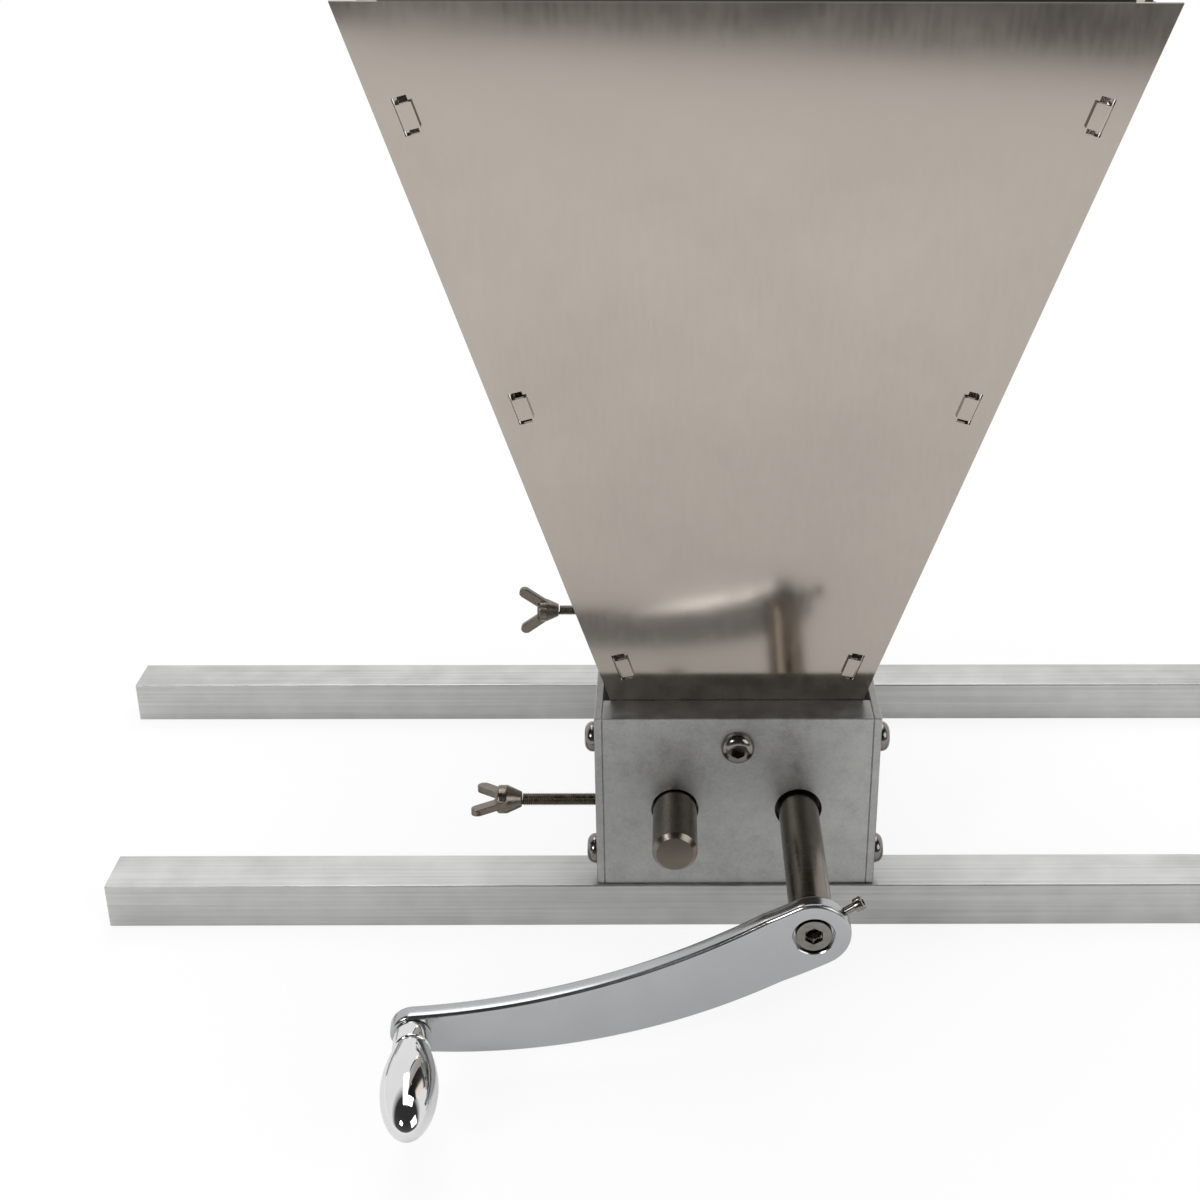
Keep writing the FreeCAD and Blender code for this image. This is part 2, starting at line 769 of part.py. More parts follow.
def grip():
    # Collar with a rounded edge, groove and bulb in one turned piece, open at the arm
    collar = end_clear + grip_collar_len
    waist = collar + grip_groove_w
    edge = grip_collar_r - grip_groove_r
    bend = edge * math.sqrt(0.5)
    bulb = grip_bulb_at
    bore = spindle_r + run_clear
    floor = grip_length - grip_tip_wall
    rise = ((grip_neck_r + grip_bulb_r) / 2 + grip_swell, -(waist + bulb) / 2)
    dome = (grip_bulb_r * 0.8, -bulb - (grip_length - bulb) * 0.65)
    swell = [(grip_neck_r, -waist), rise, (grip_bulb_r, -bulb), dome, (0, -grip_length)]
    edges = [
        line((bore, -end_clear), (grip_collar_r, -end_clear)),
        line((grip_collar_r, -end_clear), (grip_collar_r, edge - collar)),
        arc((grip_collar_r, edge - collar), (grip_groove_r + bend, edge - collar - bend),
            (grip_groove_r, -collar)),
        line((grip_groove_r, -collar), (grip_groove_r, -waist)),
        line((grip_groove_r, -waist), (grip_neck_r, -waist)),
        curve(swell, (0.2, -1), (-1, 0)),
        line((0, -grip_length), (0, -floor)),
        line((0, -floor), (bore, -floor)),
        line((bore, -floor), (bore, -end_clear)),
    ]
    turned_grip = turned(edges)
    turned_grip.Placement = grip_place()
    return turned_grip


def assemble():
    low, high = side_screw_heights()
    nodes = {}
    nodes["front_plate"] = thick_plate()
    nodes["back_plate"] = mirrored_y(nodes["front_plate"])
    nodes["left_side_plate"] = side_plate(True)
    nodes["right_side_plate"] = side_plate(False)
    for side in ("left", "right"):
        for end in ("front", "back"):
            for level, z in (("lower", low), ("upper", high)):
                name = side + "_" + end + "_" + level + "_screw"
                nodes[name] = side_screw(side == "left", end == "back", z)
    nodes["front_rail"] = rail()
    nodes["back_rail"] = turned_round(nodes["front_rail"])
    nodes["front_rail_left_screw"] = rail_screw(-rail_screw_spread / 2)
    nodes["front_rail_right_screw"] = rail_screw(rail_screw_spread / 2)
    nodes["back_rail_right_screw"] = turned_round(nodes["front_rail_left_screw"])
    nodes["back_rail_left_screw"] = turned_round(nodes["front_rail_right_screw"])
    nodes["hopper_front_sheet"] = end_sheet()
    nodes["hopper_back_sheet"] = mirrored_y(nodes["hopper_front_sheet"])
    nodes["hopper_left_sheet"] = side_sheet()
    nodes["hopper_right_sheet"] = mirrored_x(nodes["hopper_left_sheet"])
    nodes["hopper_front_screw"] = hopper_screw()
    nodes["hopper_back_screw"] = mirrored_y(nodes["hopper_front_screw"])
    nodes["hopper_front_nut"] = hopper_nut()
    nodes["hopper_back_nut"] = mirrored_y(nodes["hopper_front_nut"])
    nodes["drive_bush_front"] = bush()
    nodes["drive_bush_back"] = mirrored_y(nodes["drive_bush_front"])
    nodes["drive_roller"] = roller(x_drive, z_axis)
    nodes["drive_shaft"] = drive_shaft()
    nodes["front_adjuster"] = adjuster()
    nodes["back_adjuster"] = mirrored_y(nodes["front_adjuster"])
    nodes["idler_roller"] = roller(x_idler, z_axis + eccentricity)
    nodes["idler_shaft"] = idler_shaft()
    front_lock = wing_screw(front_wing_reach, front_wing_angle)
    back_lock = wing_screw(back_wing_reach, back_wing_angle)
    nodes["front_wing_screw"] = moved(front_lock, V(-x_face, y_plate, z_axis))
    nodes["back_wing_screw"] = moved(back_lock, V(-x_face, 2 * y_mid - y_plate, z_axis))
    nodes["crank_arm"] = crank_arm()
    nodes["crank_bolt"] = crank_bolt()
    nodes["crank_set_screw"] = crank_set_screw()
    nodes["grip_spindle"] = grip_spindle()
    nodes["grip"] = grip()
    return nodes


for name, shape in assemble().items():
    shape.exportStep("parts/" + name + ".step")
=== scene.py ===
import json
import math

import bpy
from mathutils import Matrix, Vector


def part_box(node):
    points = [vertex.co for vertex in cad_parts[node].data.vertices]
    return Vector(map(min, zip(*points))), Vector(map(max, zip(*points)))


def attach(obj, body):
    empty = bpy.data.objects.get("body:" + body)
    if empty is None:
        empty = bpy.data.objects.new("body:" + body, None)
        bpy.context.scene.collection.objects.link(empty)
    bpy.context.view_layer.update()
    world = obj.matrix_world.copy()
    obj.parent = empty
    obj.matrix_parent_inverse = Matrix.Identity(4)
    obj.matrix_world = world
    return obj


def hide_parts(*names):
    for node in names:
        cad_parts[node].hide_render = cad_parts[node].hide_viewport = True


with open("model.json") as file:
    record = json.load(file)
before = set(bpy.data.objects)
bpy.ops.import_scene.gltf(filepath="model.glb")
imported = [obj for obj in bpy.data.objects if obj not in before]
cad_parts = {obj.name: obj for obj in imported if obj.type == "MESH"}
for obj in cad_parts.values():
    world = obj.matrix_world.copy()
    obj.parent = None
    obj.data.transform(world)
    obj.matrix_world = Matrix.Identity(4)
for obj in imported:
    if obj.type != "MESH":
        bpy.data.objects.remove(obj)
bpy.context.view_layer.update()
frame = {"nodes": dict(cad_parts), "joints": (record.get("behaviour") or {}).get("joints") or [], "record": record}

MM = 0.001
nodes = frame["nodes"]
joints = {joint["name"]: joint for joint in frame["joints"]}
slot_of = {part["node"]: part["material_slot"] for part in frame["record"]["subparts"]}
body_of = {}
for body, names in frame["record"]["behaviour"]["bodies"].items():
    for name in names:
        body_of[name] = body

# Sizes of the modelled pieces, in millimetres
arm_t = 5.0
arm_hub_r = 10.8
arm_end_r = 6.2
arm_inner_bow = 212.0
arm_outer_bow = 180.0
arm_bend_at = 12.0
arm_sections = (30.0, 50.0, 70.0, 90.0)
arm_lean = math.radians(7.0)
arm_rolled_edge = 1.2
arm_rolled_steps = 4
arm_sharp_corner = math.radians(60.0)
counterbore_r = 6.0
counterbore_depth = 2.2
counterbore_chamfer = 0.25
spigot_hole_r = 4.52
spindle_hole_r = 3.02
bolt_head_r = 5.2
bolt_head_h = 2.0
bolt_head_round = 0.45
bolt_head_round_mid = 0.12
bolt_head_under_edge = 0.1
bolt_r = 3.0
bolt_length = 16.0
bolt_tip_chamfer = 0.75
bolt_socket = 5.0
bolt_socket_web = 0.2
bolt_drill_r = 2.4
bolt_drill_depth = 3.5
bolt_drill_point = 1.0
set_screw_angle = math.radians(33.6)
set_screw_r = 1.2
set_screw_clear = 0.02
set_screw_head_r = 2.0
set_screw_head_h = 2.6
set_screw_head_edge = 0.15
set_screw_head_round = 0.5
set_screw_from = 4.55
set_screw_to = 16.7
set_screw_tip = 0.2
set_screw_socket = 1.8
set_screw_socket_depth = 1.3
set_screw_hole = 20.0
grip_bore_r = 3.05
grip_bore_chamfer = 0.2
grip_from = 0.3
grip_collar_r = 5.3
grip_collar_end = 6.3
grip_collar_round = 0.35
grip_collar_round_mid = 0.1
grip_groove_r = 4.4
grip_groove_w = 0.7
grip_groove_edge = 0.1
grip_neck_r = 5.3
grip_neck_edge = 0.15
grip_bulb_r = 7.8
grip_bulb_at = 20.5
grip_length = 37.0
grip_floor = 31.0
spindle_r = 3.0
spindle_end = 30.7
spindle_chamfer = 0.3
rivet_r = 4.6
rivet_h = 1.6
wing_pitch = 0.7
wing_crest_r = 2.0
wing_crest_clear = 0.02
wing_root_r = 1.62
wing_hub_r = 4.5
wing_tip_r = 3.6
wing_foot_r = 2.4
wing_hub_len = 8.3
wing_crown = 1.0
wing_band = 2.6
wing_ear_r = 2.1
wing_ear_t = 2.2
wing_half_span = 10.4
wing_beyond_hub = 7.0
wing_voxel = 0.2
wing_smooth_share = 0.5
wing_smooth_rounds = 8
front_wing_turn = 80.0
back_wing_turn = 4.0
side_screw = {"shank": 2.5, "head": 4.75, "height": 3.2, "length": 16.0, "socket": 3.0}
hopper_screw = {"shank": 3.0, "head": 5.25, "height": 3.3, "length": 18.0, "socket": 4.0}
button_edge = 0.15
button_tip = 0.6
nut_across = 10.0
nut_t = 5.0
nut_bore_r = 3.02
nut_bore_chamfer = 0.5
nut_corner_slope = math.radians(30.0)

# Shares: of a head's radius, of its height and of a nut's width across its flats
button_flat = 0.45
button_rim = 0.2
button_socket_past_head = 0.1
nut_flat = 0.475

# Where one thread turn rises to its crest, leaves it and is back at its root, as shares of it
thread_crest_from = 0.4
thread_crest_to = 0.55
thread_root_from = 0.95

# How far a cutter reaches past the face it cuts, and what counts as one point or as past a line
past = 1.0
seam = 0.002
just_past = 0.01

# Faces round a turned piece, from the grip down to the smallest hole
grip_faces = 96
wide_faces = 72
head_faces = 64
thin_faces = 48
pinch_faces = 40
hole_faces = 32
ear_faces = 32
thread_faces = 24

# Where the photograph was taken from, in the mill's own frame
camera_place = (-19.93, -416.2, 341.08)
camera_pitch = 21.646
camera_yaw = 0.473
camera_roll = 0.185
camera_lens = 46.01
camera_sensor = 36.0
camera_nearest = 0.01
camera_shift = (-0.0717, -0.15)

# The paper, in metres: it ends in front of the mill, and its slanted edge shows in the hopper
paper_size = 8.0
paper_middle = (0.0, 3.46, -0.0004)
paper_turn = math.radians(6.0)
# Share of plain white in it, in mirrors and as the eye sees it near the mill and far away
paper_in_mirrors = 0.25
paper_near_white = 0.87
paper_far_white = 1.0
paper_near = 0.25
paper_far = 0.5

# The dark side of the studio, in front of the mill and above the camera. It starts and is full
# at these cosines of the angle from its middle.
dark_side = (0.0, -0.8, 0.6)
dark_from = 0.15
dark_full = 0.4
# Its tones by height, from 0 straight down to 1 straight up: a pale low wall under a dark one
front_tones = ((0.28, 0.11), (0.32, 0.55), (0.40, 0.55), (0.55, 0.09), (0.85, 0.04))
# What dull surfaces get from the room
room_fill = 0.55

# Lamps: name, place, side of the square in metres, and watts
lamps = (
    ("overhead", (0.0, 0.45, 1.5), 1.2, 15.0),
    ("left_box", (-0.74, -0.98, 0.82), 0.3, 5.5),
    ("right_box", (1.0, -0.8, 0.75), 0.8, 5.0),
)
lamps_aim_at = (0.0, 0.03, 0.1)


def linear(code):
    """An sRGB hex colour as linear red, green, blue and alpha."""
    parts = [int(code[i:i + 2], 16) / 255 for i in (0, 2, 4)]
    return [p / 12.92 if p < 0.04045 else ((p + 0.055) / 1.055) ** 2.4 for p in parts] + [1.0]


def add(tree, kind, settings=None, **inputs):
    """One node, with its settings and its sockets filled by values or by other sockets."""
    made = tree.nodes.new(kind)
    for name, value in (settings or {}).items():
        setattr(made, name, value)
    for name, value in inputs.items():
        key = int(name[1:]) if name[0] == "i" and name[1:].isdigit() else name.replace("_", " ")
        socket = made.inputs[key]
        if isinstance(value, bpy.types.NodeSocket):
            tree.links.new(value, socket)
        else:
            socket.default_value = value
    return made


def bare_metal(name):
    """A metal with its tree and the piece's own coordinates."""
    finish = bpy.data.materials.new(name)
    finish.use_nodes = True
    tree = finish.node_tree
    tree.nodes["Principled BSDF"].inputs["Metallic"].default_value = 1.0
    place = add(tree, "ShaderNodeTexCoord").outputs["Object"]
    return finish, tree, place


def surface(finish, colour, rough, skin=None):
    """Links a metal's colour, roughness and relief to its shader."""
    tree = finish.node_tree
    shader = tree.nodes["Principled BSDF"]
    tree.links.new(colour.outputs[2], shader.inputs["Base Color"])
    tree.links.new(rough.outputs[0], shader.inputs["Roughness"])
    if skin:
        tree.links.new(skin.outputs[0], shader.inputs["Normal"])
    return finish


def rolled_stainless():
    """Cold rolled stainless sheet, which gives a soft mirror with upright grain and cloudy hand marks."""
    finish, tree, place = bare_metal("rolled_stainless")
    # Rolling grain 1.5 mm wide and 90 mm long: the real lines are far finer than a pixel
    along = add(tree, "ShaderNodeMapping", Vector=place,
                Scale=(1 / (1.5 * MM), 1 / (1.5 * MM), 1 / (90 * MM)))
    grain = add(tree, "ShaderNodeTexNoise", Vector=along.outputs[0], Scale=1.0, Detail=2.0)
    # Hand marks about 40 mm across
    marks = add(tree, "ShaderNodeTexNoise", Vector=place, Scale=1 / (40 * MM), Detail=4.0,
                Roughness=0.6)
    # The thin sheet is never quite flat: waves 70 mm long
    waves = add(tree, "ShaderNodeTexNoise", Vector=place, Scale=1 / (70 * MM), Detail=1.0)
    both = add(tree, "ShaderNodeMix", {"data_type": "FLOAT"}, Factor=0.25,
               i2=marks.outputs[0], i3=grain.outputs[0])
    tone = add(tree, "ShaderNodeMapRange", Value=both.outputs[0], From_Min=0.3, From_Max=0.7)
    colour = add(tree, "ShaderNodeMix", {"data_type": "RGBA"}, Factor=tone.outputs[0],
                 i6=linear("A69E96"), i7=linear("B0A89F"))
    rough = add(tree, "ShaderNodeMapRange", Value=both.outputs[0], From_Min=0.3, From_Max=0.7,
                To_Min=0.10, To_Max=0.17)
    sway = add(tree, "ShaderNodeBump", Height=waves.outputs[0], Strength=0.2, Distance=0.5 * MM)
    # The grain is shallow, or it would streak the reflection of the paper's edge
    skin = add(tree, "ShaderNodeBump", Height=grain.outputs[0], Strength=0.05, Distance=0.02 * MM,
               Normal=sway.outputs[0])
    return surface(finish, colour, rough, skin)


def milled_aluminium():
    """Milled and tumbled aluminium plate, which gives a dull mottled grey with tiny pits."""
    finish, tree, place = bare_metal("milled_aluminium")
    # Cloudy patches 7 mm across, and tumbling pits 0.8 mm across
    cloud = add(tree, "ShaderNodeTexNoise", Vector=place, Scale=1 / (7 * MM), Detail=3.0,
                Roughness=0.6)
    pits = add(tree, "ShaderNodeTexNoise", Vector=place, Scale=1 / (0.8 * MM), Detail=2.0)
    both = add(tree, "ShaderNodeMix", {"data_type": "FLOAT"}, Factor=0.4,
               i2=cloud.outputs[0], i3=pits.outputs[0])
    tone = add(tree, "ShaderNodeMapRange", Value=both.outputs[0], From_Min=0.35, From_Max=0.65)
    colour = add(tree, "ShaderNodeMix", {"data_type": "RGBA"}, Factor=tone.outputs[0],
                 i6=linear("9C9C9A"), i7=linear("B4B4B1"))
    rough = add(tree, "ShaderNodeMapRange", Value=both.outputs[0], From_Min=0.35, From_Max=0.65,
                To_Min=0.40, To_Max=0.54)
    skin = add(tree, "ShaderNodeBump", Height=pits.outputs[0], Strength=0.3, Distance=0.06 * MM)
    return surface(finish, colour, rough, skin)


def drawn_aluminium():
    """Extruded aluminium tube, which gives a pale satin with long die lines."""
    finish, tree, place = bare_metal("drawn_aluminium")
    # Die lines 1 mm apart that run 120 mm along the tube, and handling marks 12 mm across
    along = add(tree, "ShaderNodeMapping", Vector=place,
                Scale=(1 / (120 * MM), 1 / (1 * MM), 1 / (1 * MM)))
    lines = add(tree, "ShaderNodeTexNoise", Vector=along.outputs[0], Scale=1.0, Detail=3.0)
    marks = add(tree, "ShaderNodeTexNoise", Vector=place, Scale=1 / (12 * MM), Detail=3.0)
    both = add(tree, "ShaderNodeMix", {"data_type": "FLOAT"}, Factor=0.6,
               i2=marks.outputs[0], i3=lines.outputs[0])
    tone = add(tree, "ShaderNodeMapRange", Value=both.outputs[0], From_Min=0.35, From_Max=0.65)
    colour = add(tree, "ShaderNodeMix", {"data_type": "RGBA"}, Factor=tone.outputs[0],
                 i6=linear("AEAEAC"), i7=linear("C5C5C3"))
    rough = add(tree, "ShaderNodeMapRange", Value=both.outputs[0], From_Min=0.35, From_Max=0.65,
                To_Min=0.32, To_Max=0.46)
    skin = add(tree, "ShaderNodeBump", Height=lines.outputs[0], Strength=0.25, Distance=0.05 * MM)
    return surface(finish, colour, rough, skin)


def turned_steel():
    """Steel turned on a lathe, which gives a brownish mirror with fine rings round its axis."""
    finish, tree, place = bare_metal("turned_steel")
    # Tool rings 0.5 mm apart along the shaft, a little coarser than real so that they show
    along = add(tree, "ShaderNodeMapping", Vector=place,
                Scale=(1 / (40 * MM), 1 / (0.5 * MM), 1 / (40 * MM)))
    rings = add(tree, "ShaderNodeTexNoise", Vector=along.outputs[0], Scale=1.0, Detail=2.0)
    # Stains 6 mm across
    stain = add(tree, "ShaderNodeTexNoise", Vector=place, Scale=1 / (6 * MM), Detail=3.0)
    colour = add(tree, "ShaderNodeMix", {"data_type": "RGBA"}, Factor=stain.outputs[0],
                 i6=linear("6E665E"), i7=linear("7E766D"))
    rough = add(tree, "ShaderNodeMapRange", Value=rings.outputs[0], From_Min=0.3, From_Max=0.7,
                To_Min=0.22, To_Max=0.28)
    skin = add(tree, "ShaderNodeBump", Height=rings.outputs[0], Strength=0.1, Distance=0.01 * MM)
    return surface(finish, colour, rough, skin)


def fluted_steel():
    """Plain steel of the rollers, which gives a dull grey with mill dust in the flutes."""
    finish, tree, place = bare_metal("fluted_steel")
    # Cutting lines along the flutes 0.4 mm apart, and dusty patches 5 mm across
    along = add(tree, "ShaderNodeMapping", Vector=place,
                Scale=(1 / (0.4 * MM), 1 / (20 * MM), 1 / (0.4 * MM)))
    lines = add(tree, "ShaderNodeTexNoise", Vector=along.outputs[0], Scale=1.0, Detail=2.0)
    dust = add(tree, "ShaderNodeTexNoise", Vector=place, Scale=1 / (5 * MM), Detail=3.0)
    colour = add(tree, "ShaderNodeMix", {"data_type": "RGBA"}, Factor=dust.outputs[0],
                 i6=linear("77756F"), i7=linear("938F87"))
    rough = add(tree, "ShaderNodeMapRange", Value=dust.outputs[0], From_Min=0.35, From_Max=0.65,
                To_Min=0.34, To_Max=0.50)
    skin = add(tree, "ShaderNodeBump", Height=lines.outputs[0], Strength=0.25, Distance=0.04 * MM)
    return surface(finish, colour, rough, skin)


def sintered_iron():
    """Sintered iron of the bush, coloured almost black, which gives a dark, slightly grainy ring."""
    finish, tree, place = bare_metal("sintered_iron")
    # Pressed grains 0.5 mm across
    grains = add(tree, "ShaderNodeTexNoise", Vector=place, Scale=1 / (0.5 * MM), Detail=2.0)
    colour = add(tree, "ShaderNodeMix", {"data_type": "RGBA"}, Factor=grains.outputs[0],
                 i6=linear("3A3733"), i7=linear("57534D"))
    rough = add(tree, "ShaderNodeMapRange", Value=grains.outputs[0], To_Min=0.42, To_Max=0.62)
    skin = add(tree, "ShaderNodeBump", Height=grains.outputs[0], Strength=0.3, Distance=0.05 * MM)
    return surface(finish, colour, rough, skin)


def satin_chrome():
    """Satin chrome over a forged arm, which gives a soft cool sheen with a faint orange peel."""
    finish, tree, place = bare_metal("satin_chrome")
    # Orange peel 2.5 mm across under the plating, and cloudy patches 15 mm across
    peel = add(tree, "ShaderNodeTexNoise", Vector=place, Scale=1 / (2.5 * MM), Detail=1.0)
    cloud = add(tree, "ShaderNodeTexNoise", Vector=place, Scale=1 / (15 * MM), Detail=3.0)
    colour = add(tree, "ShaderNodeMix", {"data_type": "RGBA"}, Factor=cloud.outputs[0],
                 i6=linear("A6A7A8"), i7=linear("B2B3B4"))
    rough = add(tree, "ShaderNodeMapRange", Value=cloud.outputs[0], From_Min=0.35, From_Max=0.65,
                To_Min=0.18, To_Max=0.23)
    skin = add(tree, "ShaderNodeBump", Height=peel.outputs[0], Strength=0.1, Distance=0.05 * MM)
    return surface(finish, colour, rough, skin)


def mirror_chrome():
    """Polished chrome of the grip, which gives a sharp mirror with thin finger smears."""
    finish, tree, place = bare_metal("mirror_chrome")
    # Finger smears 4 mm across
    smear = add(tree, "ShaderNodeTexNoise", Vector=place, Scale=1 / (4 * MM), Detail=3.0)
    colour = add(tree, "ShaderNodeMix", {"data_type": "RGBA"}, Factor=smear.outputs[0],
                 i6=linear("D6D6D7"), i7=linear("DEDEDE"))
    rough = add(tree, "ShaderNodeMapRange", Value=smear.outputs[0], From_Min=0.45, From_Max=0.75,
                To_Min=0.03, To_Max=0.09)
    return surface(finish, colour, rough)


def cast_nickel():
    """Nickel over a cast wing screw, which gives a warm dark sheen on a slightly sandy skin."""
    finish, tree, place = bare_metal("cast_nickel")
    # Sand grain 0.6 mm across from the mould, and darker patches 3 mm across
    sand = add(tree, "ShaderNodeTexNoise", Vector=place, Scale=1 / (0.6 * MM), Detail=2.0)
    patch = add(tree, "ShaderNodeTexNoise", Vector=place, Scale=1 / (3 * MM), Detail=2.0)
    colour = add(tree, "ShaderNodeMix", {"data_type": "RGBA"}, Factor=patch.outputs[0],
                 i6=linear("625B53"), i7=linear("8A8278"))
    rough = add(tree, "ShaderNodeMapRange", Value=patch.outputs[0], From_Min=0.35, From_Max=0.65,
                To_Min=0.22, To_Max=0.36)
    skin = add(tree, "ShaderNodeBump", Height=sand.outputs[0], Strength=0.35, Distance=0.08 * MM)
    return surface(finish, colour, rough, skin)


def screw_stainless():
    """Headed stainless screws, which give a small bright mirror with a dark, cloudy tint."""
    finish, tree, place = bare_metal("screw_stainless")
    # Forging clouds 2 mm across
    cloud = add(tree, "ShaderNodeTexNoise", Vector=place, Scale=1 / (2 * MM), Detail=3.0)
    colour = add(tree, "ShaderNodeMix", {"data_type": "RGBA"}, Factor=cloud.outputs[0],
                 i6=linear("6C6863"), i7=linear("8E8A84"))
    rough = add(tree, "ShaderNodeMapRange", Value=cloud.outputs[0], From_Min=0.35, From_Max=0.65,
                To_Min=0.12, To_Max=0.22)
    skin = add(tree, "ShaderNodeBump", Height=cloud.outputs[0], Strength=0.1, Distance=0.05 * MM)
    return surface(finish, colour, rough, skin)


finishes = {
    "plate_aluminium": milled_aluminium(),
    "rail_aluminium": drawn_aluminium(),
    "hopper_stainless": rolled_stainless(),
    "roller_steel": fluted_steel(),
    "turned_steel": turned_steel(),
    "bush_iron": sintered_iron(),
    "arm_satin": satin_chrome(),
    "grip_chrome": mirror_chrome(),
    "wing_nickel": cast_nickel(),
    "screw_steel": screw_stainless(),
}
for node, slot in slot_of.items():
    shown = nodes[node].data
    shown.materials.clear()
    shown.materials.append(finishes[slot])


def draw(points):
    """Draws one vertex out through points in millimetres, and stays in edit mode."""
    bpy.ops.object.select_all(action="DESELECT")
    bpy.ops.mesh.primitive_plane_add(size=1.0)
    bpy.ops.object.mode_set(mode="EDIT")
    bpy.ops.mesh.merge(type="CENTER")
    bpy.ops.transform.translate(value=Vector(points[0]) * MM)
    for here, there in zip(points, points[1:]):
        step = (Vector(there) - Vector(here)) * MM
        bpy.ops.mesh.extrude_vertices_move(TRANSFORM_OT_translate={"value": step})


def merge_seam():
    """Makes one point of the points that meet, and leaves all selected."""
    bpy.ops.mesh.select_all(action="SELECT")
    bpy.ops.mesh.remove_doubles(threshold=seam * MM)


def close_skin():
    """Merges the seam and the poles, turns the faces outwards and leaves edit mode."""
    merge_seam()
    bpy.ops.mesh.normals_make_consistent(inside=False)
    bpy.ops.object.mode_set(mode="OBJECT")
    return bpy.context.object


def turned(outline, faces):
    """Spins an outline of (radius, along) in millimetres round the Y axis."""
    draw([(r, y, 0) for r, y in outline])
    bpy.ops.mesh.select_all(action="SELECT")
    bpy.ops.mesh.spin(steps=faces, angle=math.tau, center=(0, 0, 0), axis=(0, 1, 0))
    return close_skin()


def pin(r, start, end):
    """The outline of a plain round bar."""
    return [(0, start), (r, start), (r, end), (0, end)]


def quarter(steps):
    """The angles of a quarter turn, both ends included."""
    return [math.pi / 2 * i / steps for i in range(steps + 1)]


def apply_change(piece, change):
    """Makes a modifier part of a piece's mesh."""
    bpy.context.view_layer.objects.active = piece
    bpy.ops.object.modifier_apply(modifier=change.name)


def work(piece, tool, how):
    """Cuts a tool out of a piece, joins it on or keeps what both share."""
    change = piece.modifiers.new(how, "BOOLEAN")
    change.operation = how
    change.solver = "EXACT"
    change.object = tool
    apply_change(piece, change)
    bpy.data.objects.remove(tool)
    return piece


def hex_bar(across, y0, y1):
    """A six-sided bar along Y, for sockets and nuts."""
    bpy.ops.object.select_all(action="DESELECT")
    bpy.ops.mesh.primitive_cylinder_add(
        vertices=6, radius=across / math.sqrt(3) * MM, depth=(y1 - y0) * MM,
        location=(0, (y0 + y1) / 2 * MM, 0), rotation=(math.pi / 2, 0, 0))
    bpy.ops.object.transform_apply(location=True, rotation=True, scale=True)
    return bpy.context.object


def move_to(piece, place):
    """Puts a piece in a place and keeps that place in its mesh."""
    bpy.ops.object.select_all(action="DESELECT")
    piece.select_set(True)
    bpy.context.view_layer.objects.active = piece
    piece.matrix_world = place
    bpy.ops.object.transform_apply(location=True, rotation=True, scale=True)


def twin(piece):
    """A copy with a mesh of its own."""
    other = piece.copy()
    other.data = piece.data.copy()
    bpy.context.scene.collection.objects.link(other)
    return other


def fit(piece, name, node, place, angle=35):
    """Shades a finished piece, puts it in place and lets it stand for its node."""
    move_to(piece, place)
    bpy.ops.object.shade_smooth_by_angle(angle=math.radians(angle))
    piece.name = name
    piece.data.name = name
    piece.data.materials.clear()
    piece.data.materials.append(finishes[slot_of[node]])
    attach(piece, body_of[node])
    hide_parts(node)


def at(point):
    """A place at a point in millimetres, not turned."""
    return Matrix.Translation(Vector(point) * MM)


def facing(point, axis):
    """A place whose Y axis runs along a direction."""
    turn = Vector((0, 1, 0)).rotation_difference(Vector(axis))
    return at(point) @ turn.to_matrix().to_4x4()


def corners(node):
    """The low and the high corner of a node's box, in millimetres."""
    return [Vector(c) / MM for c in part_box(node)]


# The crank's places, from its joints
drive_at = Vector(joints["crank_turn"]["pos_m"]) / MM
grip_at = Vector(joints["grip_spin"]["pos_m"]) / MM
grip_axis = Vector(joints["grip_spin"]["axis"])
arm_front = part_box("crank_arm")[1][1] / MM - arm_t
crank_radius = math.hypot(grip_at.x - drive_at.x, grip_at.z - drive_at.z)
crank_angle = math.atan2(grip_at.z - drive_at.z, grip_at.x - drive_at.x)
hub_at = Vector((drive_at.x, arm_front, drive_at.z))
crank_place = at(hub_at) @ Matrix.Rotation(-crank_angle, 4, "Y")
grip_place = facing(grip_at, grip_axis)

# The pinch screw points out of the hub at its own angle, square to the shaft
pinch_at = hub_at + Vector((0, (counterbore_depth + arm_t) / 2, 0))
pinch_axis = (math.cos(set_screw_angle), 0, math.sin(set_screw_angle))
set_screw_place = facing(pinch_at, pinch_axis)


def sweep(centre, r, start, end, count):
    """Points along an arc in the arm's plane, the last one left off."""
    points = []
    for i in range(count):
        a = start + (end - start) * i / count
        points.append((centre.x + r * math.cos(a), 0, centre.z + r * math.sin(a)))
    return points


def heading(start, goal):
    """The angle in the arm's plane from one point to another."""
    return math.atan2(goal.z - start.z, goal.x - start.x)


def arm_outline(reach):
    """Hub, lower edge, grip end and upper edge of the flat arm, as tangent arcs."""
    def bow_centre(to_hub, to_end):
        x = (to_hub ** 2 - to_end ** 2 + reach ** 2) / (2 * reach)
        return Vector((x, 0, -math.sqrt(to_hub ** 2 - x ** 2)))

    hub = Vector((0, 0, 0))
    end = Vector((reach, 0, 0))
    top = bow_centre(arm_inner_bow + arm_hub_r, arm_inner_bow + arm_end_r)
    low = bow_centre(arm_outer_bow - arm_hub_r, arm_outer_bow - arm_end_r)
    points = sweep(hub, arm_hub_r, heading(hub, top) + math.tau, heading(low, hub), 28)
    points += sweep(low, arm_outer_bow, heading(low, hub), heading(low, end), 36)
    points += sweep(end, arm_end_r, heading(low, end), heading(end, top), 20)
    points += sweep(top, arm_inner_bow, heading(top, end), heading(top, hub), 36)
    return points + points[:1]


